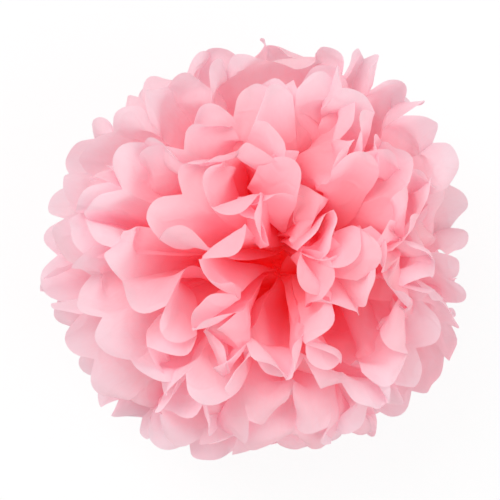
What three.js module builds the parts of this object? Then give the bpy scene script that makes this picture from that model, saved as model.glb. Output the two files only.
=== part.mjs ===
// Tissue paper pom pom. A stack of tissue sheets is pleated like a fan, its ends are cut round,
// a wire ties it at the middle, and the sheets are pulled apart into a ball that lies on a table.
// Millimetres, +Z up. The pleats run along Y through the tie, and each half of a sheet opens to half a turn.
import * as THREE from "three";

// Paper, as cut and folded
const SHEET_LENGTH = 250; // end to end along the pleats, through the tie
const PLEAT_WIDTH = 25; // fold to fold
const PANELS = 18; // pleats across a sheet
const SCALLOP_DEPTH = 11; // from the tip of a panel's round end back to its folds
const PAPER_THICKNESS = 0.4; // stands for tissue of about 0.03 mm
const SHEET_GAP = 0.3; // clear space between neighbours at the tie

// Tie
const WAIST_WIDTH = 12; // what the sheets are bunched to inside the tie
const TIE_ZONE = 6; // flat stretch of each sheet under the wire, along the pleats
const WIRE_DIAMETER = 1;
const TWIST_PITCH = 5;
const TWIST_TURNS = 3;

// How the ball is fluffed. Angles are in degrees above the level of the tie.
const STEM = 0.25; // share of the free length that leaves the tie straight
const TIP_LENGTH = 22; // straight stretch at the end of every petal
const LEAN = 4; // the far half stands this much steeper, and the near half this much flatter
const RISE_SHARE = 0.3; // how much of a ruffle's tilt a petal has from the tie on
const CROWD_FROM = 60; // petals steeper than this crowd together
const UPRIGHT = 88; // and none stands steeper than this
const PARTING_WIDTH = 34; // to both sides of -Y the top sheets lie back and show the tie
const FLUFF_START = 0.1; // share of the free length where the pleats begin to open
const FLUFF_END = 0.62; // share of the free length where they have their full width
const SEAM_START = 0.4; // share of the reach from which a sheet's two halves run side by side along X
const FOOT_LENGTH = 28; // stretch of the lowest sheet that lies on the table
const REACH_MEAN = 0.86; // how far the crumpled paper reaches outwards, as a share of flat paper
const REACH_LOPSIDED = 0.135; // more of it towards -X and less towards +X
const REACH_OVAL = 0.025; // more of it along X and less along Y
const STEEPEST_PLEAT = 0.5; // most a pleat rises or dips, as a share of its distance from the middle
const PLEAT_UNEVENNESS = 0.3; // how much higher or lower than the others a pleat may be
const UNEVEN_TURN = 137.5; // degrees from one fold to the next in the wave that makes them uneven

// Waves that run round the ball and tilt the petals of every sheet: how many, how far, where they start,
// and how far they move on from one sheet to the next.
const RUFFLES = [
  { count: 3, height: 15, phase: 40, drift: 6 },
  { count: 5, height: 14, phase: 200, drift: -6 },
  { count: 8, height: 11, phase: 110, drift: 8 },
];

// Each sheet leaves the tie at its rise and bends to its rim angle. Its ruffle is its share of the waves.
const SHEETS = [
  { name: "tissue_sheet_1_top", rise: 82, rim: 78, parting: 26, ruffle: 1 },
  { name: "tissue_sheet_2", rise: 54, rim: 52, parting: 14, ruffle: 1 },
  { name: "tissue_sheet_3", rise: 40, rim: 35, parting: 7, ruffle: 1 },
  { name: "tissue_sheet_4", rise: 26, rim: 18, parting: 3, ruffle: 1 },
  { name: "tissue_sheet_5", rise: 0, rim: -1, parting: 0, ruffle: 0.9 },
  { name: "tissue_sheet_6", rise: -18, rim: -18, parting: 0, ruffle: 0.7 },
  { name: "tissue_sheet_7", rise: -40, rim: -36, parting: 0, ruffle: 0.5 },
  { name: "tissue_sheet_8_bottom", rise: -76, rim: 0, parting: 0, ruffle: 0 },
];

// Resolution of the facets
// Rows are shares of the length from the tie to where a panel's round end starts.
const ROWS = [0, 0.1, 0.34, 0.66, 1];
const SCALLOP_STEPS = 4;
const WIRE_SIDES = 8;
const WIRE_STEPS = 112;
const POINTS_A_TURN = 10;

const STACK_PITCH = PAPER_THICKNESS + SHEET_GAP;
const STACK_HEIGHT = SHEETS.length * STACK_PITCH - SHEET_GAP;

const tissue = new THREE.MeshStandardMaterial({ color: 0xffb3c4, roughness: 0.85, side: THREE.DoubleSide });
const wirePaint = new THREE.MeshStandardMaterial({ color: 0x8c1a22, roughness: 0.5, metalness: 0.3 });

const { clamp, degToRad, lerp, smoothstep } = THREE.MathUtils;

function heading(degrees) {
  const angle = degToRad(degrees);
  return new THREE.Vector2(Math.cos(angle), Math.sin(angle));
}

// What follows from a sheet's place in the stack. The inner sheets lie flat for longer before they can bend.
function placed(sheet, index) {
  const level = STACK_HEIGHT / 2 - PAPER_THICKNESS / 2 - index * STACK_PITCH;
  const edge = TIE_ZONE / 2 + STACK_PITCH * Math.min(index, SHEETS.length - 1 - index);
  const freeLength = SHEET_LENGTH / 2 - edge;
  const foot = index === SHEETS.length - 1 ? FOOT_LENGTH : 0;
  return { ...sheet, index, level, edge, freeLength, foot };
}

// Steep petals crowd together and keep their order.
function crowded(angle) {
  const room = UPRIGHT - CROWD_FROM;
  return angle < CROWD_FROM ? angle : UPRIGHT - room * Math.exp((CROWD_FROM - angle) / room);
}

// The angles at which a petal leaves the tie and ends. out is the way it points, seen from above.
function petalAngles(sheet, out) {
  const around = Math.atan2(out.y, out.x);
  let tilt = 0;
  for (const { count, height, phase, drift } of RUFFLES) {
    tilt += sheet.ruffle * height * Math.sin(count * around + degToRad(phase + drift * sheet.index));
  }
  const offParting = Math.acos(clamp(-out.y, -1, 1)) / degToRad(PARTING_WIDTH);
  const back = sheet.parting * (1 - smoothstep(offParting * offParting, 0, 1));
  const lean = out.y * LEAN * Math.max(0, heading(sheet.rise).y);
  return {
    rise: crowded(sheet.rise + lean + RISE_SHARE * tilt - back),
    rim: crowded(sheet.rim + tilt - back),
  };
}

// The side view of a petal, a length from the tie's edge: a straight stem, a round bend and a straight tip.
function sideView(sheet, { rise, rim }, along) {
  const stem = STEM * sheet.freeLength;
  const bend = sheet.freeLength - stem - Math.max(TIP_LENGTH, sheet.foot);
  const onBend = clamp(along - stem, 0, bend);
  const slope = lerp(rise, rim, onBend / bend);
  const halfTurn = degToRad(slope - rise) / 2;
  const chord = halfTurn ? (onBend * Math.sin(halfTurn)) / halfTurn : onBend;
  const at = heading(rise)
    .multiplyScalar(Math.min(along, stem))
    .addScaledVector(heading((rise + slope) / 2), chord)
    .addScaledVector(heading(rim), Math.max(0, along - stem - bend));
  return { at, slope: heading(slope) };
}

// How far out a point of the side view lies in the direction given.
function outwardOf(sheet, azimuth, at) {
  const level = heading((sheet.rise + sheet.rim) / 2).x;
  const lopsided = REACH_LOPSIDED * Math.sin(azimuth) * level;
  return at.x * (REACH_MEAN - lopsided - REACH_OVAL * Math.cos(2 * azimuth));
}

// Up at even folds and down at odd ones, straight between them, and not quite even.
function pleatWave(fold, sign) {
  const panel = Math.floor(fold);
  const ends = [panel, panel + 1].map(
    (end) => (end % 2 ? -1 : 1) * (1 + PLEAT_UNEVENNESS * Math.sin(degToRad(UNEVEN_TURN) * end + sign)),
  );
  return lerp(...ends, fold - panel);
}

// Direction of a fold, seen from above. The end panels of a sheet's two halves close in on each other
// at -X and at +X, until they are a gap apart.
function azimuthOf(sheet, spread) {
  const end = spread < 0 ? -1 : 1;
  const ahead = petalAngles(sheet, new THREE.Vector3(end, 0, 0));
  const reach = outwardOf(sheet, (end * Math.PI) / 2, sideView(sheet, ahead, sheet.freeLength).at);
  const closing = Math.asin(Math.min(1, (sheet.edge - SHEET_GAP / 2) / (SEAM_START * reach)));
  return spread * (Math.PI + 2 * closing);
}

// Half the height of the pleats where their folds lie this far apart. They are shut at the tie, open out
// along the sheet, and lie flat again on the table.
function pleatHeight(sheet, along, outward) {
  const width = PLEAT_WIDTH * smoothstep(along / sheet.freeLength, FLUFF_START, FLUFF_END);
  const spacing = (outward * Math.PI) / PANELS;
  const open = Math.sqrt(Math.max(0, width * width - spacing * spacing)) / 2;
  const table = sheet.freeLength - sheet.foot;
  const clear = sheet.foot ? smoothstep(table - along, 0, table / 3) : 1;
  return clear * Math.min(open, STEEPEST_PLEAT * outward);
}

// The sheets in their places, and the level at which the lowest one lies on the table.
const stack = SHEETS.map(placed);
const bottom = stack.at(-1);
const tableLevel = bottom.level + sideView(bottom, bottom, bottom.freeLength).at.y;

// A point of the sheet's middle surface, and the direction of its thickness.
// fold counts from 0 at -X to PANELS at +X, and along is measured from the tie's edge.
function sheetPoint(sheet, sign, fold, along) {
  const spread = fold / PANELS - 0.5;
  const azimuth = azimuthOf(sheet, spread);
  const out = new THREE.Vector3(Math.sin(azimuth), sign * Math.cos(azimuth), 0);
  const { at, slope } = sideView(sheet, petalAngles(sheet, out), along);
  const outward = outwardOf(sheet, azimuth, at);
  const normal = out.clone().multiplyScalar(-slope.y).setZ(slope.x);
  const point = new THREE.Vector3(spread * WAIST_WIDTH, sign * sheet.edge, sheet.level + at.y)
    .addScaledVector(out, outward)
    .addScaledVector(normal, pleatWave(fold, sign) * pleatHeight(sheet, along, outward));
  point.y = sign * Math.max(sign * point.y, SHEET_GAP / 2);
  const lowest = tableLevel + STACK_PITCH * (bottom.index - sheet.index);
  if (point.z > lowest) return { point, normal };
  return { point: point.setZ(lowest), normal: new THREE.Vector3(0, 0, 1) };
}

// A closed solid from a sheet of triangles: the sheet moved both ways along its normals, with a wall
// at its edge.
function thicken(surface, triangles) {
  const count = surface.length;
  const shifted = [PAPER_THICKNESS / 2, -PAPER_THICKNESS / 2].flatMap((shift) =>
    surface.flatMap(({ point, normal }) => point.clone().addScaledVector(normal, shift).toArray()),
  );
  const edges = new Map();
  for (const [a, b, c] of triangles) {
    for (const [from, to] of [[a, b], [b, c], [c, a]]) {
      if (!edges.delete(`${to} ${from}`)) edges.set(`${from} ${to}`, [from, to]);
    }
  }
  const wall = [...edges.values()].flatMap(([a, b]) => [a + count, b + count, b, a + count, b, a]);
  const under = triangles.flatMap(([a, b, c]) => [c + count, b + count, a + count]);
  const geometry = new THREE.BufferGeometry();
  geometry.setAttribute("position", new THREE.Float32BufferAttribute(shifted, 3));
  geometry.setIndex([...triangles.flat(), ...under, ...wall]);
  geometry.computeVertexNormals();
  return geometry;
}

// One sheet: both halves of the fan, joined by the strip that runs under the wire.
function sheetGeometry(sheet) {
  const surface = [];
  const triangles = [];
  const put = (sign, fold, along) => surface.push(sheetPoint(sheet, sign, fold, along)) - 1;
  const foldEnd = sheet.freeLength - SCALLOP_DEPTH;
  const folds = Array.from({ length: PANELS + 1 }, (_, fold) => fold);
  const bendEnd = sheet.foot ? sheet.freeLength - sheet.foot : foldEnd;
  const lengths = [...new Set([...ROWS.map((share) => share * bendEnd), foldEnd])];
  const rowsOf = (sign) => lengths.map((along) => folds.map((fold) => put(sign, fold, along)));
  const [near, far] = [-1, 1].map(rowsOf);
  const rows = [...near.toReversed(), ...far];
  for (let row = 0; row + 1 < rows.length; row++) {
    for (let panel = 0; panel < PANELS; panel++) {
      const [a, b] = [rows[row][panel], rows[row][panel + 1]];
      const [d, c] = [rows[row + 1][panel], rows[row + 1][panel + 1]];
      triangles.push([a, b, c], [a, c, d]);
    }
  }
  for (const sign of [-1, 1]) {
    const ends = (sign > 0 ? far : near).at(-1);
    for (let panel = 0; panel < PANELS; panel++) {
      const rim = [ends[panel]];
      for (let step = 1; step < SCALLOP_STEPS; step++) {
        const turn = (Math.PI * step) / SCALLOP_STEPS;
        rim.push(put(sign, panel + (1 - Math.cos(turn)) / 2, foldEnd + SCALLOP_DEPTH * Math.sin(turn)));
      }
      rim.push(ends[panel + 1]);
      for (let step = 1; step + 1 < rim.length; step++) {
        const [b, c] = sign > 0 ? [rim[step + 1], rim[step]] : [rim[step], rim[step + 1]];
        triangles.push([rim[0], b, c]);
      }
    }
  }
  return thicken(surface, triangles);
}

// The wire's middle line: down one strand of the twist, once round the stack, and up the other strand.
function wireLine() {
  const radius = WIRE_DIAMETER / 2;
  const corner = radius + SHEET_GAP;
  const [halfWidth, halfHeight] = [WAIST_WIDTH / 2, STACK_HEIGHT / 2];
  const twistRadius = radius + SHEET_GAP / 2;
  const top = halfHeight + corner;
  const foot = top + WIRE_DIAMETER;
  const strand = [];
  for (let step = 0; step <= TWIST_TURNS * POINTS_A_TURN; step++) {
    const turn = step / POINTS_A_TURN;
    const angle = 2 * Math.PI * turn;
    const across = new THREE.Vector2(Math.cos(angle), Math.sin(angle)).multiplyScalar(twistRadius);
    strand.push(new THREE.Vector3(across.x, across.y, foot + turn * TWIST_PITCH));
  }
  const half = [new THREE.Vector3(twistRadius + radius, 0, top + SHEET_GAP)];
  for (const [start, level] of [[Math.PI / 2, halfHeight], [0, -halfHeight]]) {
    for (let step = 0; step <= 2; step++) {
      const angle = start - (step * Math.PI) / 4;
      half.push(new THREE.Vector3(halfWidth + corner * Math.cos(angle), 0, level + corner * Math.sin(angle)));
    }
  }
  const mirror = (p) => new THREE.Vector3(-p.x, -p.y, p.z);
  const right = [...strand.toReversed(), ...half];
  return new THREE.CatmullRomCurve3([...right, ...right.toReversed().map(mirror)], false, "centripetal");
}

function wireGeometry() {
  const section = new THREE.Shape();
  for (let side = 0; side < WIRE_SIDES; side++) {
    const angle = (2 * Math.PI * side) / WIRE_SIDES;
    const place = [(Math.cos(angle) * WIRE_DIAMETER) / 2, (Math.sin(angle) * WIRE_DIAMETER) / 2];
    if (side) section.lineTo(...place);
    else section.moveTo(...place);
  }
  section.closePath();
  return new THREE.ExtrudeGeometry(section, { steps: WIRE_STEPS, extrudePath: wireLine() });
}

function named(name, geometry, material) {
  const mesh = new THREE.Mesh(geometry, material);
  mesh.name = name;
  return mesh;
}

const ball = new THREE.Group();
stack.forEach((sheet) => ball.add(named(sheet.name, sheetGeometry(sheet), tissue)));
ball.add(named("tie_wire", wireGeometry(), wirePaint));

// The part stands on z = 0, and its origin is under the middle of its box.
const box = new THREE.Box3().setFromObject(ball, true);
const middle = box.getCenter(new THREE.Vector3());
ball.position.set(-middle.x, -middle.y, -box.min.z);

const pomPom = new THREE.Group();
pomPom.add(ball);
export default pomPom;
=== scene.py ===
"""Tissue paper pom pom: pleated tissue sheets, tied at the middle and fluffed into a ball."""

import logging
import math
from collections.abc import Mapping
from dataclasses import dataclass, field
from enum import Enum

import bpy
import numpy as np
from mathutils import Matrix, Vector


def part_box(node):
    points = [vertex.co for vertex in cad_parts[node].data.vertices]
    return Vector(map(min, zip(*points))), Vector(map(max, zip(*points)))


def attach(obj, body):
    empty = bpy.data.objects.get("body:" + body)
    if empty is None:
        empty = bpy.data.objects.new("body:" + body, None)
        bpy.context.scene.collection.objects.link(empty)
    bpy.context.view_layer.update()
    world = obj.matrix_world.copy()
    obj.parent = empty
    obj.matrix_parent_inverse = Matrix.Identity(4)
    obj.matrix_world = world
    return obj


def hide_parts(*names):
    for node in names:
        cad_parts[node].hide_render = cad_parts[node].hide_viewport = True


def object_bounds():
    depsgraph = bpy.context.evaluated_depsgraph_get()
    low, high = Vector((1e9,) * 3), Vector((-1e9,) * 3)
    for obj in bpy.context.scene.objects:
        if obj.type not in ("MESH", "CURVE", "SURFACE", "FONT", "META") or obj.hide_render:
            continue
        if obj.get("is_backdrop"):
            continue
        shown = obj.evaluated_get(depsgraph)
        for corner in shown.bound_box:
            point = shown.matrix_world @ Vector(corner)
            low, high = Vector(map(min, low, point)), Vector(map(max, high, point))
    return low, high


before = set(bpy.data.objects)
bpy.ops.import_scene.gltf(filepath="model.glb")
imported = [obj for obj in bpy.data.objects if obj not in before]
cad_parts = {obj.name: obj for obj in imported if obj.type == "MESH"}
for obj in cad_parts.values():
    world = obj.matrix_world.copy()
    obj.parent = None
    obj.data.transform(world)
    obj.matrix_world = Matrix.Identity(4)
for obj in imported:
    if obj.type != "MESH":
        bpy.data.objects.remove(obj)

LOG = logging.getLogger("pom_pom")
MM = 0.001
FLAT = "flat_place"


class Link(Enum):
    """How two points of the paper hold each other."""

    STRETCH = "both ways, because paper neither stretches nor shrinks"
    BEND = "apart only, because flat paper resists bending"
    FOLD = "together only, because a pressed fold springs shut"


class Wire:
    """A node's output. Sums and products of wires add the nodes that work them out."""

    def __init__(self, graph: "Graph", socket: bpy.types.NodeSocket) -> None:
        """Wraps one output socket of a graph."""
        self.graph = graph
        self.socket = socket

    @staticmethod
    def is_vector(value: object) -> bool:
        """Whether a wire or a constant has three parts."""
        if isinstance(value, Wire):
            return value.socket.type in {"VECTOR", "RGBA"}
        return isinstance(value, (tuple, Vector))

    def maths(self, operation: str, *terms: object) -> "Wire":
        """Adds one Math node, or one Vector Math node where a term is a vector.

        Args:
            operation: The node's operation.
            terms: Its inputs in order, as wires or constants.

        Returns:
            The node's result.
        """
        if not any(self.is_vector(term) for term in terms):
            return self.graph.add("ShaderNodeMath", {"operation": operation}, dict(enumerate(terms)))
        spread = [t if isinstance(t, (Wire, tuple, Vector)) else (t, t, t) for t in terms]
        result = "Value" if operation in {"DOT_PRODUCT", "LENGTH"} else 0
        return self.graph.add("ShaderNodeVectorMath", {"operation": operation}, dict(enumerate(spread)), result)

    def __add__(self, other: object) -> "Wire":
        """Sum."""
        return self.maths("ADD", self, other)

    def __radd__(self, other: object) -> "Wire":
        """Sum with a constant on the left."""
        return self.maths("ADD", other, self)

    def __sub__(self, other: object) -> "Wire":
        """Difference."""
        return self.maths("SUBTRACT", self, other)

    def __rsub__(self, other: object) -> "Wire":
        """Difference from a constant."""
        return self.maths("SUBTRACT", other, self)

    def __mul__(self, other: object) -> "Wire":
        """Product, which scales where only one side is a vector."""
        if self.is_vector(self) and not self.is_vector(other):
            return self.graph.add("ShaderNodeVectorMath", {"operation": "SCALE"}, {0: self, 3: other})
        if self.is_vector(other) and not self.is_vector(self):
            return self.graph.add("ShaderNodeVectorMath", {"operation": "SCALE"}, {0: other, 3: self})
        return self.maths("MULTIPLY", self, other)

    def __rmul__(self, other: object) -> "Wire":
        """Product with a constant on the left."""
        return self * other

    def __truediv__(self, other: object) -> "Wire":
        """Quotient."""
        return self.maths("DIVIDE", self, other)

    def __rtruediv__(self, other: object) -> "Wire":
        """Quotient of a constant."""
        return self.maths("DIVIDE", other, self)

    def __pow__(self, other: object) -> "Wire":
        """Power."""
        return self.maths("POWER", self, other)

    def __neg__(self) -> "Wire":
        """Opposite."""
        return self.maths("MULTIPLY", self, -1.0)


class Graph:
    """A node tree under construction."""

    def __init__(self, tree: bpy.types.NodeTree) -> None:
        """Starts on an empty tree."""
        self.tree = tree

    def add(
        self,
        kind: str,
        settings: Mapping[str, object] | None = None,
        inputs: Mapping[object, object] | None = None,
        output: object = 0,
    ) -> Wire:
        """Adds one node.

        Args:
            kind: The node's type.
            settings: Its properties, set first. The key stops fills a colour ramp with (place, colour) pairs.
            inputs: Values or wires by the name or number of the socket.
            output: The name or number of the output that is returned.

        Returns:
            The chosen output.
        """
        node = self.tree.nodes.new(kind)
        for name, value in (settings or {}).items():
            if name == "stops":
                ramp = node.color_ramp
                while len(ramp.elements) < len(value):
                    ramp.elements.new(1.0)
                for element, (place, colour) in zip(ramp.elements, value):
                    element.position = place
                    element.color = colour
            else:
                setattr(node, name, value)
        for key, value in (inputs or {}).items():
            if isinstance(value, Wire):
                self.tree.links.new(value.socket, node.inputs[key])
            else:
                node.inputs[key].default_value = value
        return Wire(self, node.outputs[output]) if node.outputs else Wire(self, None)

    def sin(self, angle: Wire) -> Wire:
        """Sine."""
        return angle.maths("SINE", angle)

    def cos(self, angle: Wire) -> Wire:
        """Cosine."""
        return angle.maths("COSINE", angle)

    def lower(self, a: Wire, b: object) -> Wire:
        """The lower of two values."""
        return a.maths("MINIMUM", a, b)

    def higher(self, a: Wire, b: object) -> Wire:
        """The higher of two values."""
        return a.maths("MAXIMUM", a, b)

    def mix(self, share: Wire, a: object, b: object) -> Wire:
        """A blend of two values that goes from a to b as share goes from 0 to 1."""
        return self.add("ShaderNodeMix", {"data_type": "FLOAT", "clamp_factor": False}, {0: share, 2: a, 3: b})

    def ease(self, value: Wire, start: object, end: object) -> Wire:
        """Goes smoothly from 0 at start to 1 at end."""
        return self.add(
            "ShaderNodeMapRange", {"interpolation_type": "SMOOTHSTEP"}, {"Value": value, "From Min": start, "From Max": end}
        )

    def vector(self, x: object, y: object, z: object) -> Wire:
        """Three values as one vector."""
        return self.add("ShaderNodeCombineXYZ", None, {0: x, 1: y, 2: z})

    def noise(self, place: Wire, scale: object, detail: float = 1.0, colour: bool = False) -> Wire:
        """Smooth noise from 0 to 1, or three such values.

        Args:
            place: Where it is read.
            scale: Waves per unit of place.
            detail: Octaves beyond the first.
            colour: Whether three values are wanted.

        Returns:
            The noise.
        """
        return self.add(
            "ShaderNodeTexNoise",
            {"noise_dimensions": "3D"},
            {"Vector": place, "Scale": scale, "Detail": detail},
            1 if colour else 0,
        )


@dataclass(frozen=True)
class Ruffle:
    """A wave that runs round the ball and tilts the petals of every sheet, in degrees."""

    count: int
    height: float
    phase: float
    drift: float


RUFFLES = (
    Ruffle(count=3, height=15.0, phase=40.0, drift=6.0),
    Ruffle(count=5, height=14.0, phase=200.0, drift=-6.0),
    Ruffle(count=8, height=11.0, phase=110.0, drift=8.0),
)


@dataclass(frozen=True)
class SheetSizes:
    """The sizes of one fluffed sheet, in metres and radians. Each is an input of the sheet's node tree."""

    panels: int = 18
    panel_columns: int = 6
    rows: int = 53
    half_length: float = 125 * MM
    pleat_width: float = 25 * MM
    scallop_depth: float = 11 * MM
    waist_width: float = 12 * MM
    edge: float = 3 * MM
    level: float = 0.0
    tie: tuple[float, float, float] = (0.0, 0.0, 0.0)
    rise: float = 0.0
    rim: float = 0.0
    stem: float = 0.25
    tip_length: float = 22 * MM
    tip_curl: float = 3.0
    half_fan: float = math.pi / 2
    lap: float = 5 * MM
    lap_lift: float = 2.2 * MM
    lean: float = 0.0
    parting: float = 0.0
    parting_width: float = 0.6
    reach_mean: float = 0.86
    reach_lopsided: float = 0.2
    reach_oval: float = 0.025
    reach_square: float = 0.03
    ruffle: float = 1.0
    rise_share: float = 0.3
    whim: float = 1.2
    whim_size: float = 3.0
    place: float = 0.0
    stagger: float = 0.5
    jitter: float = 0.6
    bulge: float = 1.2 * MM
    warp: float = 16 * MM
    warp_size: float = 16.0
    crumple: float = 1.2 * MM
    softness: float = 0.35
    disorder: float = 0.7
    foot_length: float = 0.0
    floor: float = 0.0
    seed: int = 1


class SheetTree:
    """The node tree that folds, ties and fluffs one sheet."""

    NAME = "pleated_tissue_sheet"

    def __init__(self) -> None:
        """Builds the tree with one named input for each field of SheetSizes."""
        self.tree = bpy.data.node_groups.new(self.NAME, "GeometryNodeTree")
        self.graph = Graph(self.tree)
        kinds = {int: "NodeSocketInt", float: "NodeSocketFloat", tuple: "NodeSocketVector"}
        self.sockets: dict[str, str] = {}
        for name, value in vars(SheetSizes()).items():
            socket = self.tree.interface.new_socket(name, in_out="INPUT", socket_type=kinds[type(value)])
            self.sockets[name] = socket.identifier
        paper = self.tree.interface.new_socket("paper", in_out="INPUT", socket_type="NodeSocketMaterial")
        self.sockets["paper"] = paper.identifier
        self.tree.interface.new_socket("Geometry", in_out="OUTPUT", socket_type="NodeSocketGeometry")
        entry = self.tree.nodes.new("NodeGroupInput")
        self.inputs = {name: Wire(self.graph, entry.outputs[name]) for name in self.sockets}
        self._build()

    def _fold_random(self, fold: Wire, side: Wire, salt: int) -> Wire:
        """A value from -1 to 1 that belongs to one fold or panel of one half.

        Args:
            fold: The number of the fold or panel.
            side: -1 or 1.
            salt: Sets apart the uses of these values.

        Returns:
            The value.
        """
        identity = fold + side * 40.0 + (100.5 + 200.0 * salt)
        return self.graph.add(
            "FunctionNodeRandomValue",
            {"data_type": "FLOAT"},
            {2: -1.0, 3: 1.0, "ID": identity, "Seed": self.inputs["seed"]},
            1,
        )

    def _along_folds(self, panel: Wire, across: Wire, side: Wire, salt: int) -> Wire:
        """A value of each fold's own, eased across the panel from one fold to the next."""
        share = self.graph.ease(across, 0.0, 1.0)
        return self.graph.mix(
            share, self._fold_random(panel, side, salt), self._fold_random(panel + 1.0, side, salt)
        )

    def _arc(self, length: Wire, start: Wire, end: Wire) -> tuple[Wire, Wire]:
        """Where an arc of the given length ends, seen from the side.

        Args:
            length: Its length.
            start: Its direction at the start.
            end: Its direction at the end.

        Returns:
            How far it goes out and up.
        """
        g = self.graph
        turn = end - start
        half = g.higher(turn.maths("ABSOLUTE", turn) * 0.5, 1e-3)
        chord = length * g.sin(half) / half
        middle = (start + end) * 0.5
        return chord * g.cos(middle), chord * g.sin(middle)

    def _crowded(self, angle: Wire) -> Wire:
        """Lets steep petals crowd together, so that none stands quite upright."""
        crowd_from, upright = math.radians(60), math.radians(88)
        room = upright - crowd_from
        excess = self.graph.higher(angle - crowd_from, 0.0)
        shrunk = 1.0 - excess.maths("EXPONENT", excess / -room)
        return self.graph.lower(angle, crowd_from) + shrunk * room

    def _build(self) -> None:
        """Lays out the whole tree."""
        g = self.graph
        size = self.inputs
        panels = size["panels"]
        grid = g.add(
            "GeometryNodeMeshGrid",
            None,
            {
                "Size X": panels,
                "Size Y": 2.0,
                "Vertices X": panels * size["panel_columns"] + 1.0,
                "Vertices Y": size["rows"],
            },
        )
        place = g.add("GeometryNodeInputPosition")
        column = g.add("ShaderNodeSeparateXYZ", None, {0: place}, 0)
        row = g.add("ShaderNodeSeparateXYZ", None, {0: place}, 1)

        # Place on the flat sheet: which panel, how far across it, which half, how far from the tie's edge
        fold = column + panels * 0.5
        panel = g.lower(fold.maths("FLOOR", fold + 1e-3), panels - 1.0)
        step = fold - panel
        across = step
        side = row.maths("SIGN", row)
        tie_share = size["edge"] / size["half_length"]
        free = size["half_length"] - size["edge"]
        share = g.higher((row.maths("ABSOLUTE", row) - tie_share) / (1.0 - tie_share), 0.0)
        off_middle = step * 2.0 - 1.0
        cut = size["scallop_depth"] * (1.0 - g.higher(1.0 - off_middle * off_middle, 0.0) ** 0.5) * share**4.0
        along = free * share - cut
        stretch = along / free

        # Direction of this part of the fan, with a stagger that pairs a wide panel with a narrow one
        spread = (panel + across) / panels - 0.5
        parity = 1.0 - 2.0 * panel.maths("FLOORED_MODULO", panel, 2.0)
        wave = parity * (1.0 - 2.0 * across)
        bearing = spread * 2.0 * size["half_fan"]
        pitch = 2.0 * size["half_fan"] / panels
        heading = g.vector(g.sin(bearing), g.cos(bearing) * side, size["seed"] * 3.7)
        opening = g.ease(stretch, 0.25, 0.95)
        lopsided = (g.noise(heading, 1.3, 0.0) - 0.5) * 2.0
        sway = self._along_folds(panel, across, side, 1)
        end_panel = g.ease(spread.maths("ABSOLUTE", spread), 0.5, 0.5 - 1.5 / 18.0)
        shift = opening * pitch * (wave * lopsided * 1.6 * size["stagger"] + sway * size["jitter"]) * end_panel
        azimuth = bearing + shift

        # Side view: a straight stem, a bend, and a tip that curls
        around = bearing.maths("ARCTAN2", g.cos(bearing) * side, g.sin(bearing))
        tilt = (g.noise(heading, size["whim_size"], 1.0) - 0.5) * 2.0 * size["whim"]
        for wave in RUFFLES:
            turn = around * wave.count + size["place"] * math.radians(wave.drift) + math.radians(wave.phase)
            tilt = tilt + g.sin(turn) * size["ruffle"] * math.radians(wave.height)
        upward = g.higher(g.sin(size["rise"]), 0.0)
        off = bearing / size["parting_width"]
        back = size["parting"] * (1.0 - side) * 0.5 * g.ease(off * off, 1.0, 0.0)
        lean = size["lean"] * side * g.cos(bearing) * upward
        rise = self._crowded(size["rise"] + lean + tilt * size["rise_share"] - back)
        rim = size["rim"] + tilt - back + self._along_folds(panel, across, side, 2) * size["jitter"] * 0.6
        rim = self._crowded(rim)
        curl = (self._along_folds(panel, across, side, 3) - 0.3) * size["tip_curl"]
        tip = g.higher(size["tip_length"], size["foot_length"])
        footless = 1.0 - g.ease(size["foot_length"], 0.0, 1e-3)
        rim = g.mix(footless, 0.0, rim)
        curl = curl * footless
        stem = size["stem"] * free
        bend = free - stem - tip
        on_stem = g.lower(along, stem)
        on_bend = g.lower(g.higher(along - stem, 0.0), bend)
        on_tip = g.higher(along - stem - bend, 0.0)
        slope_bend = g.mix(on_bend / bend, rise, rim)
        slope = slope_bend + curl * on_tip / tip
        out_bend, up_bend = self._arc(on_bend, rise, slope_bend)
        out_tip, up_tip = self._arc(on_tip, rim, rim + curl * on_tip / tip)
        outward = on_stem * g.cos(rise) + out_bend + out_tip
        upwards = on_stem * g.sin(rise) + up_bend + up_tip

        # Seen from above, the crumpled paper reaches less far than its length
        level = g.cos((size["rise"] + size["rim"]) * 0.5)
        reach = size["reach_mean"] - size["reach_lopsided"] * g.sin(azimuth) * level
        reach = reach - size["reach_oval"] * g.cos(azimuth * 2.0)
        reach = reach + size["reach_square"] * (1.0 - g.cos(azimuth * 4.0)) * level
        radius = outward * reach

        # Pleats: shut at the tie, opening along the sheet, pressed flat again on the table
        width = size["pleat_width"] * g.ease(stretch, 0.0, 0.3)
        spacing = radius * pitch
        height = (g.higher(width * width - spacing * spacing, 0.0) ** 0.5) * 0.5
        height = g.lower(height, radius * 0.6)
        table = free - size["foot_length"]
        height = height * g.mix(footless, g.ease(along, table, table * 0.6), 1.0)
        height = height * (1.0 + self._along_folds(panel, across, side, 4) * size["jitter"] * opening)
        loose = opening * size["disorder"]
        left = g.mix(loose, parity, self._fold_random(panel, side, 6) * 1.5)
        right = g.mix(loose, -parity, self._fold_random(panel + 1.0, side, 6) * 1.5)
        sharp = g.mix(across, left, right)
        rounded = g.mix(g.ease(across, 0.0, 1.0), left, right)
        pleat = g.mix(opening * size["softness"], sharp, rounded) * height
        belly = self._fold_random(panel, side, 5) * size["bulge"] * across * (1.0 - across) * 4.0 * opening

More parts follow.
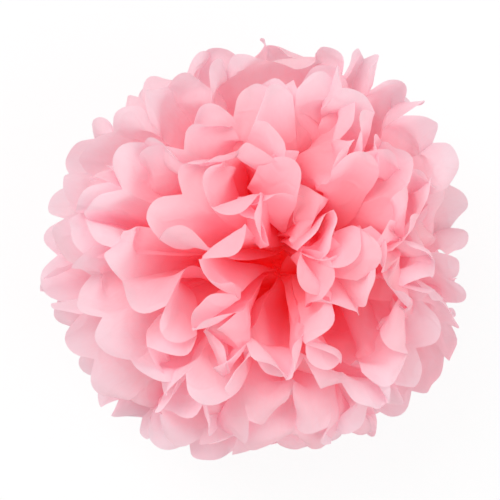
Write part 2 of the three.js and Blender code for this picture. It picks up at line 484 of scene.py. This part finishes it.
        out = g.vector(g.sin(azimuth), g.cos(azimuth) * side, 0.0)
        normal = out * (-g.sin(slope)) + g.vector(0.0, 0.0, g.cos(slope))
        start = g.vector(
            spread * size["waist_width"],
            g.lower(g.higher(row / tie_share, -1.0), 1.0) * size["edge"],
            size["level"] + upwards,
        )
        near_end = g.ease(spread.maths("ABSOLUTE", spread), 0.5 - 2.0 / 18.0, 0.5)
        pull = size["edge"] * g.ease(along, 0.0, 22 * MM) + size["lap"] * g.ease(along, 22 * MM, 70 * MM)
        lift = side * spread.maths("SIGN", spread) * g.ease(along, 5 * MM, 40 * MM) * size["lap_lift"] * near_end
        start = start - g.vector(0.0, side * pull * near_end, 0.0)
        point = start + out * radius + normal * (pleat + belly + lift)

        # The whole ball is pushed about together, so that the sheets keep clear of each other
        away = g.ease(stretch, 0.12, 0.9)
        push = g.noise(point, size["warp_size"], 1.0, colour=True) - (0.5, 0.5, 0.5)
        point = point + push * (size["warp"] * 2.0 * away)
        dent = g.noise(point + heading * 0.3, 75.0, 2.0) - 0.5
        point = point + normal * (dent * size["crumple"] * 2.0 * away)
        point = point + size["tie"]
        lift = g.higher(g.add("ShaderNodeSeparateXYZ", None, {0: point}, 2), size["floor"])
        point = g.vector(
            g.add("ShaderNodeSeparateXYZ", None, {0: point}, 0),
            g.add("ShaderNodeSeparateXYZ", None, {0: point}, 1),
            lift,
        )

        in_tie = g.lower(row.maths("ABSOLUTE", row) / tie_share, 1.0) * size["edge"]
        flat_place = g.vector((fold - panels * 0.5) * size["pleat_width"], side * (along + in_tie), along)
        mapped = g.add(
            "GeometryNodeStoreNamedAttribute",
            {"data_type": "FLOAT2", "domain": "CORNER"},
            {"Geometry": grid, "Name": "UVMap", "Value": flat_place},
        )
        known = g.add(
            "GeometryNodeStoreNamedAttribute",
            {"data_type": "FLOAT_VECTOR", "domain": "POINT"},
            {"Geometry": mapped, "Name": FLAT, "Value": flat_place},
        )
        moved = g.add("GeometryNodeSetPosition", None, {"Geometry": known, "Position": point})
        smooth = g.add("GeometryNodeSetShadeSmooth", None, {"Geometry": moved})
        whole = g.add("GeometryNodeRealizeInstances", None, {"Geometry": smooth})
        dressed = g.add("GeometryNodeSetMaterial", None, {"Geometry": whole, "Material": size["paper"]})
        leave = self.tree.nodes.new("NodeGroupOutput")
        self.tree.links.new(dressed.socket, leave.inputs["Geometry"])


@dataclass(frozen=True)
class TissueFinish:
    """Thin pink tissue: soft light comes back from it and as much shines through.

    The colour has painted light: it is painted palest at the rim of the ball, standing in for light that shines
    through where only a layer or two covers what is behind it, and painted darker red near the tie, with a faint
    painted red glow, standing in for the shade and the light that soaks through many layers.
    """

    name: str = "pink_tissue"
    face: tuple[float, float, float] = (0.995, 0.56, 0.63)
    # Painted light: the pale rim colour stands in for light that shines through where only a layer or two of paper is
    # left.
    face_pale: tuple[float, float, float] = (0.945, 0.91, 0.965)
    # Painted shade: the deep red colour near the tie stands in for the shade and the reddened light deep among many
    # layers.
    face_heart: tuple[float, float, float] = (0.985, 0.20, 0.22)
    through: tuple[float, float, float] = (0.995, 0.62, 0.69)
    # Painted light: a faint red glow near the tie, though the paper is no lamp, stands in for light that soaks
    # through many layers.
    soaked: tuple[float, float, float] = (1.0, 0.09, 0.10)
    soaked_strength: float = 0.04
    shine_through: float = 0.5
    shine_through_heart: float = 0.42
    roughness: float = 0.7
    axis: tuple[float, float, float] = (0.0, 0.0, 0.0)

    @staticmethod
    def _blend(g: Graph, share: Wire, first: object, second: object) -> Wire:
        """Blends two colours, each a wire or three numbers."""
        ends = [end if isinstance(end, Wire) else (*end, 1.0) for end in (first, second)]
        return g.add("ShaderNodeMix", {"data_type": "RGBA"}, {0: share, 6: ends[0], 7: ends[1]}, 2)

    def material(self) -> bpy.types.Material:
        """Builds the material.

        Returns:
            The material, with cloudy colour, fibres, fine creases and painted light: a pale rim, a darker red heart
            and a faint red glow.
        """
        material = bpy.data.materials.new(self.name)
        material.use_nodes = True
        material.node_tree.nodes.clear()
        g = Graph(material.node_tree)
        place = g.add("ShaderNodeUVMap", {"uv_map": "UVMap"})
        cloud = g.noise(place, 160.0, 1.0)
        fibre = g.noise(place * (900.0, 260.0, 1.0), 1.0, 0.0)
        where = g.add("ShaderNodeTexCoord", None, None, "Object")
        body = g.noise(where, 34.0, 2.0)
        flat = g.add("ShaderNodeAttribute", {"attribute_name": FLAT}, None, "Vector")
        from_tie = g.add("ShaderNodeSeparateXYZ", None, {0: flat}, 2) + (cloud * 0.6 + fibre * 0.4 - 0.5) * 0.03
        level = (where - self.axis) * (1.0, 1.0, 0.0)
        from_axis = level.maths("LENGTH", level)
        # Painted light: the paper is painted paler towards the rim of each sheet and away from the ball's axis.
        rim = g.ease(from_tie, 0.062, 0.120) * (g.ease(from_axis, 0.020, 0.090) * 0.70 + 0.30)
        # Painted shade: the paper is painted darker red towards the tie.
        tie_painted_shade_share = g.ease(from_tie, 0.066, 0.020)
        colour_with_painted_rim_light = self._blend(g, rim, self.face, self.face_pale)
        colour = self._blend(g, tie_painted_shade_share, colour_with_painted_rim_light, self.face_heart)
        # Painted light: a faint red glow is painted in towards the tie.
        painted_heart_glow = self._blend(g, g.ease(from_tie, 0.060, 0.014), (0.0, 0.0, 0.0), self.soaked)
        ridge = g.noise(place, 42.0, 1.0) - 0.5
        crease = g.ease(ridge.maths("ABSOLUTE", ridge), 0.04, 0.0)
        bump = g.add(
            "ShaderNodeBump",
            None,
            {
                "Strength": 0.5,
                "Distance": 0.5 * MM,
                "Height": body * 0.9 + cloud * 0.4 + crease * 0.7,
            },
        )
        paper = g.add(
            "ShaderNodeBsdfPrincipled",
            None,
            {
                "Base Color": colour,
                "Roughness": self.roughness + (cloud - 0.5) * 0.2,
                "Specular IOR Level": 0.25,
                "Emission Color": painted_heart_glow,
                "Emission Strength": self.soaked_strength,
                "Normal": bump,
            },
        )
        behind = g.add("ShaderNodeBsdfTranslucent", None, {"Color": (*self.through, 1.0)})
        # Less light shines through where the shade near the tie is painted.
        share = g.mix(tie_painted_shade_share, self.shine_through, self.shine_through_heart) + (cloud - 0.5) * 0.12
        both = g.add("ShaderNodeMixShader", None, {0: share, 1: paper, 2: behind})
        g.add("ShaderNodeOutputMaterial", None, {"Surface": both})
        return material


@dataclass
class PaperSettling:
    """Lets the fluffed sheets take the shape of paper, which bends but doesn't stretch, and keeps them apart."""

    panel_columns: int = 6
    steps: int = 100
    passes: int = 3
    slowing: float = 0.85
    fastest: float = 2 * MM
    firm_from: float = 4 * MM
    loose_from: float = 34 * MM
    hold_rim: float = 0.0015
    hold_tie: float = 0.05
    hold_length: float = 60 * MM
    hold_ends: float = 0.03
    end_panels: float = 2.5
    clearance: float = 3.2 * MM
    clear_from: float = 50 * MM
    clear_every: int = 4
    cell_points: int = 5
    floor: float = 0.5 * MM
    fold_tightest: float = math.radians(20)
    fold_widest: float = math.radians(80)
    fold_share: float = 0.45
    fold_firmness: float = 0.12
    tip_length: float = 24 * MM
    tip_reach: int = 4
    tip_firmness: float = 0.5
    gust: float = 0.14 * MM
    gust_waves: int = 9
    gust_shortest: float = 45 * MM
    gust_longest: float = 80 * MM
    gust_drift: float = 1.1
    gust_share: float = 0.6
    room_low: tuple[float, float, float] = (-0.1115, -0.106, -0.05)
    room_high: tuple[float, float, float] = (0.1115, 0.106, 0.195)
    room_waist: float = 85 * MM
    room_corner: float = 2.7
    room_unevenness: float = 0.05
    room_firmness: float = 0.3
    heart_middle: tuple[float, float, float] = (0.0, 0.0, 0.0)
    heart_size: tuple[float, float] = (6 * MM, 10 * MM)
    heart_lean: float = 14 * MM
    heart_depth: float = 70 * MM
    heart_narrow: float = 0.5
    heart_firmness: float = 0.15
    seed: int = 13
    links: list[tuple] = field(default_factory=list)

    def _link(self, first: np.ndarray, second: np.ndarray, kind: Link, firmness: float) -> None:
        """Adds links between points that all differ, so that they can be worked out at once.

        Args:
            first: The points at one end.
            second: The points at the other end.
            kind: How they hold each other.
            firmness: Share of the error that is taken out at once.
        """
        first, second = first.ravel(), second.ravel()
        rest = np.linalg.norm(self.flat[first, :2] - self.flat[second, :2], axis=1)
        total = self.free[first] + self.free[second]
        live = total > 0
        first, second, rest, total = first[live], second[live], rest[live], total[live]
        shares = [firmness * (self.free[ends] / total)[None, :, None] for ends in (first, second)]
        self.links.append((first, second, rest[None], *shares, kind))

    def _weave(self, columns: int, rows: int) -> None:
        """Links every point of a sheet to its neighbours.

        Args:
            columns: Points across the sheet.
            rows: Points along the sheet.
        """
        number = np.arange(columns * rows).reshape(columns, rows)
        for odd in (0, 1):
            wide = number[odd : columns - 1 : 2], number[odd + 1 :: 2]
            long = number[:, odd : rows - 1 : 2], number[:, odd + 1 :: 2]
            self._link(wide[0], wide[1], Link.STRETCH, 1.0)
            self._link(long[0], long[1], Link.STRETCH, 1.0)
            self._link(long[0][:-1], long[1][1:], Link.STRETCH, 0.9)
            self._link(long[0][1:], long[1][:-1], Link.STRETCH, 0.9)
        on_fold = np.arange(columns) % self.panel_columns == 0
        for step, firm_panel, firm_fold in ((2, 0.35, 0.03), (3, 0.3, 0.0)):
            start = np.arange(columns - step)
            creased = np.any([on_fold[start + k] for k in range(1, step)], axis=0)
            for odd in (0, 1):
                turn = (start // step) % 2 == odd
                for chosen, firmness in ((start[turn & ~creased], firm_panel), (start[turn & creased], firm_fold)):
                    if firmness:
                        self._link(number[chosen], number[chosen + step], Link.BEND, firmness)
        folds = np.arange(0, columns - 1, self.panel_columns)
        for odd in (0, 1):
            chosen = folds[odd::2]
            self._link(number[chosen], number[chosen + self.panel_columns], Link.BEND, 0.5)
        for reach, firmness in ((2, 0.15), (4, 0.12)):
            start = np.arange(rows - reach)
            for odd in (0, 1):
                chosen = start[(start // reach) % 2 == odd]
                self._link(number[:, chosen], number[:, chosen + reach], Link.BEND, firmness)

    def _keep_folds(self, sheets: int, columns: int, rows: int, chance: np.random.Generator) -> None:
        """Links the panels on both sides of each pressed fold, each fold with an angle of its own.

        Args:
            sheets: How many sheets there are.
            columns: Points across a sheet.
            rows: Points along a sheet.
            chance: Where the angles come from.
        """
        number = np.arange(columns * rows).reshape(columns, rows)
        half = self.panel_columns // 2
        folds = np.arange(self.panel_columns, columns - 1, self.panel_columns)
        far_side = np.arange(rows) > rows // 2
        angles = chance.uniform(self.fold_tightest, self.fold_widest, (sheets, len(folds), 2))
        angles[chance.random(angles.shape) > self.fold_share] = math.pi
        for odd in (0, 1):
            chosen = folds[odd::2]
            angle = angles[:, odd::2][:, :, far_side.astype(int)]
            first, second = number[chosen - half].ravel(), number[chosen + half].ravel()
            flat_length = np.linalg.norm(self.flat[first, :2] - self.flat[second, :2], axis=1)
            rest = flat_length * np.sin(angle / 2).reshape(sheets, -1)
            share = (0.5 * self.fold_firmness * self.free[first])[None, :, None]
            self.links.append((first, second, rest, share, share, Link.FOLD))

    def _keep_tips_curled(self, shapes: np.ndarray, columns: int, rows: int) -> None:
        """Links the tips of the petals at the lengths that their curl gives them.

        Args:
            shapes: The points of each sheet as fluffed.
            columns: Points across a sheet.
            rows: Points along a sheet.
        """
        number = np.arange(columns * rows).reshape(columns, rows)
        longest = self.flat[:, 2].max()
        reach = self.tip_reach
        start = np.arange(rows - reach)
        for turn in range(2):
            chosen = start[(start // reach) % 2 == turn]
            first, second = number[:, chosen].ravel(), number[:, chosen + reach].ravel()
            tip = np.minimum(self.flat[first, 2], self.flat[second, 2]) > longest - self.tip_length - 11 * MM
            first, second = first[tip], second[tip]
            flat_length = np.linalg.norm(self.flat[first, :2] - self.flat[second, :2], axis=1)
            curled = np.linalg.norm(shapes[:, first] - shapes[:, second], axis=2)
            rest = np.clip(curled, 0.6 * flat_length, flat_length)
            half = np.full((1, len(first), 1), 0.5 * self.tip_firmness)
            self.links.append((first, second, rest, half, half, Link.STRETCH))

    def _gusts(self, points: np.ndarray, waves: tuple) -> np.ndarray:
        """The push of still gusts of air, which differ from place to place and a little from sheet to sheet."""
        directions, turns, phases, drifts = waves
        push = np.zeros_like(points)
        sheet = np.arange(len(points))[:, None]
        for direction, turn, phase, drift in zip(directions, turns, phases, drifts):
            push += np.sin(points @ turn + phase + drift * sheet)[..., None] * direction
        return push

    def _stay_in_room(self, points: np.ndarray, limit: np.ndarray) -> None:
        """Presses back what stands out of the round space that the ball fills."""
        low, high = np.array(self.room_low), np.array(self.room_high)
        middle = (low + high) / 2
        middle[2] = self.room_waist
        gap = points - middle
        half = np.where(gap > 0, high - middle, middle - low)
        share = np.abs(gap / half)
        flat = (share[..., 0] ** self.room_corner + share[..., 1] ** self.room_corner) ** (2 / self.room_corner)
        far = np.sqrt(flat + share[..., 2] ** 2) / limit
        over = np.maximum(1.0 - 1.0 / np.maximum(far, 1e-6), 0.0) * self.room_firmness * self.free
        points -= over[..., None] * gap

    def _open_heart(self, points: np.ndarray) -> None:
        """Moves petals aside over the flower's heart, where the tie shows."""
        middle = np.array(self.heart_middle)
        height = np.clip((points[..., 2] - middle[2]) / self.heart_depth, 0.0, 1.0)
        gap = points[..., :2] - middle[:2]
        gap[..., 1] += height * self.heart_lean
        away = np.sqrt(((gap / np.array(self.heart_size)) ** 2).sum(-1)) + 1e-6
        width = self.heart_narrow + (1.0 - self.heart_narrow) * height
        push = np.maximum(width / np.maximum(away, 0.15) - 1.0, 0.0) * self.heart_firmness * self.free
        points[..., :2] += np.where(height > 0.0, push, 0.0)[..., None] * gap

    def _hold_links(self, points: np.ndarray) -> None:
        """Moves the points of every sheet towards the lengths of the flat paper."""
        for first, second, rest, share_first, share_second, kind in self.links:
            gap = points[:, second] - points[:, first]
            length = np.sqrt((gap * gap).sum(-1)) + 1e-12
            excess = (length - rest) / length
            if kind is Link.BEND:
                excess = np.minimum(excess, 0.0)
            elif kind is Link.FOLD:
                excess = np.maximum(excess, 0.0)
            gap *= excess[..., None]
            points[:, first] += share_first * gap
            points[:, second] -= share_second * gap

    def _keep_apart(self, points: np.ndarray, rows: int) -> None:
        """Pushes apart the points of different sheets, or of far parts of one sheet, that come too close.

        Args:
            points: The points of every sheet.
            rows: Points along a sheet.
        """
        chosen = np.nonzero(self.flat[:, 2] > self.clear_from)[0]
        sheets = len(points)
        place = points[:, chosen].reshape(-1, 3)
        sheet = np.repeat(np.arange(sheets), len(chosen))
        column, row = np.tile(chosen // rows, sheets), np.tile(chosen % rows, sheets)
        room = np.clip((self.flat[chosen, 2] - self.clear_from) / self.clear_from, 0.3, 1.0) * self.clearance
        room = np.tile(room, sheets)
        cell = np.floor(place / self.clearance).astype(np.int64) + 512
        key = (cell[:, 0] << 40) | (cell[:, 1] << 20) | cell[:, 2]
        order = np.argsort(key, kind="stable")
        ranked = key[order]
        move = np.zeros_like(place)
        met = np.zeros(len(place))
        for step in np.ndindex(3, 3, 3):
            near = cell + np.array(step) - 1
            wanted = (near[:, 0] << 40) | (near[:, 1] << 20) | near[:, 2]
            first = np.searchsorted(ranked, wanted)
            for turn in range(self.cell_points):
                spot = np.minimum(first + turn, len(place) - 1)
                mine = np.nonzero(ranked[spot] == wanted)[0]
                other = order[spot[mine]]
                gap = place[mine] - place[other]
                distance = np.sqrt((gap * gap).sum(1)) + 1e-9
                allowed = np.minimum(room[mine], room[other])
                neighbour = (sheet[mine] == sheet[other]) & (np.abs(column[mine] - column[other]) <= 3)
                neighbour &= np.abs(row[mine] - row[other]) <= 3
                hit = (distance < allowed) & ~neighbour
                push = (0.5 * (allowed[hit] / distance[hit] - 1.0))[:, None] * gap[hit]
                move[mine[hit]] += push
                met[mine[hit]] += 1
        move /= np.maximum(met, 2.0)[:, None]
        points[:, chosen] += move.reshape(sheets, -1, 3) * self.free[chosen][None, :, None]

    def run(self, shapes: np.ndarray, flat: np.ndarray, columns: int, rows: int) -> np.ndarray:
        """Settles all the sheets together.

        Args:
            shapes: The points of each sheet as fluffed.
            flat: Each point's place on the flat sheet, and its distance from the tie's edge.
            columns: Points across a sheet.
            rows: Points along a sheet.

        Returns:
            The points of each sheet as settled.
        """
        self.flat = flat
        away = flat[:, 2]
        self.free = np.clip((away - self.firm_from) / (self.loose_from - self.firm_from), 0.0, 1.0)
        self._weave(columns, rows)
        self._keep_tips_curled(shapes, columns, rows)
        chance = np.random.default_rng(self.seed)
        self._keep_folds(len(shapes), columns, rows, chance)
        directions = chance.normal(size=(self.gust_waves, 3))
        directions /= np.linalg.norm(directions, axis=1, keepdims=True)
        turns = chance.normal(size=(self.gust_waves, 3))
        turns /= np.linalg.norm(turns, axis=1, keepdims=True)
        turns *= 2 * math.pi / chance.uniform(self.gust_shortest, self.gust_longest, (self.gust_waves, 1))
        phases = chance.uniform(0, 2 * math.pi, self.gust_waves)
        drifts = chance.uniform(-self.gust_drift, self.gust_drift, self.gust_waves)
        waves = directions, turns, phases, drifts
        panel = np.arange(columns) // self.panel_columns
        petal = np.repeat(panel, rows) * 2 + np.tile(np.arange(rows) > rows // 2, columns)
        limit = 1.0 + chance.uniform(-1, 1, (len(shapes), petal.max() + 1))[:, petal] * self.room_unevenness
        hold = self.hold_rim + self.hold_tie * np.clip(1.0 - away / self.hold_length, 0.0, 1.0)
        column = np.repeat(np.arange(columns), rows) / self.panel_columns
        from_end = np.minimum(column, column.max() - column)
        hold = hold + self.hold_ends * np.clip(1.0 - from_end / self.end_panels, 0.0, 1.0)
        hold = (hold * self.free)[None, :, None]
        free = self.free[None, :, None]
        points = shapes.copy()
        speed = np.zeros_like(points)
        for step in range(self.steps):
            before = points.copy()
            points += speed * (self.slowing * free) + hold * (shapes - points)
            strength = self.gust * max(0.0, 1.0 - step / (self.gust_share * self.steps))
            if strength > 0:
                points += self._gusts(points, waves) * (strength * free)
            for _ in range(self.passes):
                self._hold_links(points)
            if step % self.clear_every == self.clear_every - 1:
                self._keep_apart(points, rows)
            self._stay_in_room(points, limit)
            self._open_heart(points)
            points[..., 2] = np.maximum(points[..., 2], self.floor)
            speed = points - before
            pace = np.linalg.norm(speed, axis=-1, keepdims=True)
            speed *= np.minimum(1.0, self.fastest / np.maximum(pace, 1e-9))
        return points


@dataclass
class TissueSheet:
    """One sheet of the ball."""

    node: str
    rise: float
    rim: float
    seed: int
    place_in_stack: int
    sheets: int = 8
    lean: float = 4.0
    parting: float = 0.0
    ruffle: float = 1.0
    foot_length: float = 0.0
    pitch: float = 0.7 * MM
    crease: float = 0.8
    sharp_from: float = math.radians(35)
    obj: bpy.types.Object | None = field(default=None)

    def sizes(self, tie: Vector) -> SheetSizes:
        """The sizes that go into the node tree.

        Args:
            tie: The middle of the stack at the tie.

        Returns:
            The sizes of this sheet.
        """
        inner = min(self.place_in_stack, self.sheets - 1 - self.place_in_stack)
        edge = 3 * MM + self.pitch * inner
        return SheetSizes(
            edge=edge,
            level=self.pitch * ((self.sheets - 1) / 2 - self.place_in_stack),
            tie=tuple(tie),
            rise=math.radians(self.rise),
            rim=math.radians(self.rim),
            lean=math.radians(self.lean),
            parting=math.radians(self.parting),
            foot_length=self.foot_length,
            floor=0.2 * MM * (self.sheets - self.place_in_stack),
            seed=self.seed,
            place=self.place_in_stack,
            ruffle=self.ruffle,
        )

    def fluff(self, tree: SheetTree, paper: bpy.types.Material, tie: Vector) -> None:
        """Makes the sheet's mesh as it is pulled out of the stack.

        Args:
            tree: The node tree that shapes every sheet.
            paper: The tissue's material.
            tie: The middle of the stack at the tie.
        """
        name = f"{self.node}_paper"
        maker = bpy.data.objects.new(name + "_maker", bpy.data.meshes.new(name + "_seed"))
        bpy.context.scene.collection.objects.link(maker)
        modifier = maker.modifiers.new("fluff", "NODES")
        modifier.node_group = tree.tree
        for key, value in vars(self.sizes(tie)).items():
            modifier[tree.sockets[key]] = value
        modifier[tree.sockets["paper"]] = paper
        mesh = self._plain_mesh(maker)
        mesh.name = name
        self.obj = bpy.data.objects.new(name, mesh)
        bpy.context.scene.collection.objects.link(self.obj)

    @staticmethod
    def _plain_mesh(maker: bpy.types.Object) -> bpy.types.Mesh:
        """Turns an object with modifiers into a plain mesh, and removes the object."""
        ready = maker.evaluated_get(bpy.context.evaluated_depsgraph_get())
        mesh = bpy.data.meshes.new_from_object(ready)
        bpy.data.objects.remove(maker)
        return mesh

    def points(self) -> np.ndarray:
        """The places of the mesh's points."""
        return self._read(self.obj.data.vertices, "co")

    def flat_points(self) -> np.ndarray:
        """The places of the mesh's points on the flat sheet."""
        return self._read(self.obj.data.attributes[FLAT].data, "vector")

    @staticmethod
    def _read(items: bpy.types.bpy_prop_collection, key: str) -> np.ndarray:
        """Reads three numbers from each item."""
        values = np.zeros(len(items) * 3)
        items.foreach_get(key, values)
        return values.reshape(-1, 3)

    def settle(self, points: np.ndarray) -> None:
        """Moves the mesh to its settled shape and rounds its bends.

        Args:
            points: The settled places.
        """
        name = self.obj.name
        rough = self.obj
        rough.data.vertices.foreach_set("co", points.ravel())
        rough.name = name + "_rough"
        self._crease_folds(rough.data)
        rounding = rough.modifiers.new("rounding", "SUBSURF")
        rounding.levels = rounding.render_levels = 1
        rounding.boundary_smooth = "PRESERVE_CORNERS"
        mesh = self._plain_mesh(rough)
        mesh.name = name
        mesh.set_sharp_from_angle(angle=self.sharp_from)
        self.obj = bpy.data.objects.new(name, mesh)
        bpy.context.scene.collection.objects.link(self.obj)

    def _crease_folds(self, mesh: bpy.types.Mesh) -> None:
        """Keeps the pressed folds sharp when the mesh is rounded."""
        sizes = SheetSizes()
        ends = np.zeros(len(mesh.edges) * 2, dtype=np.int64)
        mesh.edges.foreach_get("vertices", ends)
        column = ends.reshape(-1, 2) // sizes.rows
        on_fold = (column[:, 0] == column[:, 1]) & (column[:, 0] % sizes.panel_columns == 0)
        crease = mesh.attributes.new("crease_edge", "FLOAT", "EDGE")
        crease.data.foreach_set("value", on_fold * self.crease)

    def declare(self) -> None:
        """Ties the finished sheet to the frame."""
        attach(self.obj, "root")
        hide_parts(self.node)


@dataclass(frozen=True)
class WireFinish:
    """Thin dark red coating on soft wire."""

    name: str = "red_wire"
    colour: tuple[float, float, float] = (0.32, 0.01, 0.015)

    def material(self) -> bpy.types.Material:
        """Builds the material."""
        material = bpy.data.materials.new(self.name)
        material.use_nodes = True
        material.node_tree.nodes.clear()
        g = Graph(material.node_tree)
        grain = g.noise(g.add("ShaderNodeTexCoord", None, None, "Object"), 1800.0, 2.0)
        colour = g.add(
            "ShaderNodeMix",
            {"data_type": "RGBA"},
            {0: grain, 6: (*self.colour, 1.0), 7: (*(c * 1.6 for c in self.colour), 1.0)},
            2,
        )
        bump = g.add("ShaderNodeBump", None, {"Strength": 0.3, "Distance": 0.05 * MM, "Height": grain})
        coat = g.add(
            "ShaderNodeBsdfPrincipled",
            None,
            {"Base Color": colour, "Roughness": 0.35 + grain * 0.2, "Normal": bump},
        )
        g.add("ShaderNodeOutputMaterial", None, {"Surface": coat})
        return material


@dataclass
class Studio:
    """Floor, light and camera."""

    frame_width: float = 254.6 * MM
    distance: float = 0.8
    level: float = 85 * MM
    daylight: float = 0.67

    @staticmethod
    def _seen(g: Graph) -> Wire:
        """1 where the camera sees a surface itself or in a mirror or glass, and 0 where light falls on others."""
        seen = g.add("ShaderNodeLightPath", None, None, "Is Camera Ray")
        for ray in ("Is Glossy Ray", "Is Transmission Ray"):
            seen = g.higher(seen, g.add("ShaderNodeLightPath", None, None, ray))
        return seen

    def floor(self) -> None:
        """Lays the pale floor."""
        mesh = bpy.data.meshes.new("floor")
        half = 3.0
        mesh.from_pydata([(-half, -half, 0), (half, -half, 0), (half, half, 0), (-half, half, 0)], [], [(0, 1, 2, 3)])
        floor = bpy.data.objects.new("floor", mesh)
        bpy.context.scene.collection.objects.link(floor)
        material = bpy.data.materials.new("pale_floor")
        material.use_nodes = True
        material.node_tree.nodes.clear()
        g = Graph(material.node_tree)
        matt = g.add("ShaderNodeBsdfDiffuse", None, {"Color": (0.93, 0.92, 0.92, 1.0)})
        white = g.add("ShaderNodeEmission", None, {"Color": (1.0, 1.0, 1.0, 1.0), "Strength": 1.0})
        both = g.add("ShaderNodeMixShader", None, {0: self._seen(g) * 0.87, 1: matt, 2: white})
        g.add("ShaderNodeOutputMaterial", None, {"Surface": both})
        floor.data.materials.append(material)
        floor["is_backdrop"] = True

    def light(self) -> None:
        """Sets the world and the lamps."""
        world = bpy.data.worlds.new("studio")
        bpy.context.scene.world = world
        world.use_nodes = True
        world.node_tree.nodes.clear()
        g = Graph(world.node_tree)
        strength = g.mix(self._seen(g), self.daylight, 1.0)
        sky = g.add("ShaderNodeBackground", None, {"Color": (1.0, 1.0, 1.0, 1.0), "Strength": strength})
        g.add("ShaderNodeOutputWorld", None, {"Surface": sky})
        for name, place, size, power in (
            ("key", (-0.6, 0.7, 1.5), 0.9, 13.0),
            ("fill", (0.9, -0.4, 1.2), 1.0, 6.0),
        ):
            lamp = bpy.data.lights.new(name, "AREA")
            lamp.size = size
            lamp.energy = power
            holder = bpy.data.objects.new(name, lamp)
            holder.location = place
            holder.rotation_euler = (Vector((0, 0, 0.1)) - Vector(place)).to_track_quat("-Z", "Y").to_euler()
            bpy.context.scene.collection.objects.link(holder)

    def camera(self) -> None:
        """Looks straight down on the ball."""
        lens = bpy.data.cameras.new("camera")
        lens.sensor_width = 36.0
        lens.lens = 36.0 * self.distance / self.frame_width
        lens.clip_end = 20.0
        holder = bpy.data.objects.new("camera", lens)
        holder.location = (-0.5 * MM, 0.0, self.level + self.distance)
        bpy.context.scene.collection.objects.link(holder)
        bpy.context.scene.camera = holder

    def settings(self) -> None:
        """Lets light pass between the petals many times."""
        scene = bpy.context.scene
        scene.view_settings.view_transform = "Standard"
        scene.cycles.max_bounces = 48
        scene.cycles.diffuse_bounces = 48
        scene.cycles.transmission_bounces = 48


SHEETS = (
    TissueSheet("tissue_sheet_1_top", 82, 78, 11, 0, parting=26.0),
    TissueSheet("tissue_sheet_2", 54, 52, 12, 1, parting=14.0),
    TissueSheet("tissue_sheet_3", 40, 35, 13, 2, parting=7.0),
    TissueSheet("tissue_sheet_4", 26, 18, 14, 3, parting=3.0),
    TissueSheet("tissue_sheet_5", 0, -1, 15, 4, ruffle=0.9),
    TissueSheet("tissue_sheet_6", -18, -18, 16, 5, ruffle=0.7),
    TissueSheet("tissue_sheet_7", -40, -36, 17, 6, ruffle=0.5),
    TissueSheet("tissue_sheet_8_bottom", -76, 0, 18, 7, ruffle=0.0, foot_length=28 * MM),
)


def main() -> None:
    """Builds the pieces in order and sets the stage."""
    logging.basicConfig(level=logging.INFO, format="%(name)s: %(message)s")
    cad_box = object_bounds()
    low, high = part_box("tie_wire")
    tie = Vector(((low[0] + high[0]) / 2, (low[1] + high[1]) / 2, low[2] + 3.95 * MM))
    tree = SheetTree()
    paper = TissueFinish(axis=tuple(tie)).material()
    for sheet in SHEETS:
        sheet.fluff(tree, paper, tie)
    sizes = SheetSizes()
    settling = PaperSettling(
        panel_columns=sizes.panel_columns,
        room_low=(*cad_box[0][:2], -0.05),
        room_high=tuple(cad_box[1]),
        heart_middle=tuple(tie + Vector((0.0, -2 * MM, 8 * MM))),
    )
    settled = settling.run(
        np.stack([sheet.points() for sheet in SHEETS]),
        SHEETS[0].flat_points(),
        sizes.panels * sizes.panel_columns + 1,
        sizes.rows,
    )
    for sheet, points in zip(SHEETS, settled):
        sheet.settle(points)
        sheet.declare()
        faces = sheet.obj.data.polygons
        LOG.info("%s: %d faces, %.4f m2", sheet.obj.name, len(faces), sum(face.area for face in faces))
    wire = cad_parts["tie_wire"]
    wire.data.materials.clear()
    wire.data.materials.append(WireFinish().material())
    studio = Studio()
    studio.floor()
    studio.light()
    studio.camera()
    studio.settings()


if __name__ == "__main__":
    main()
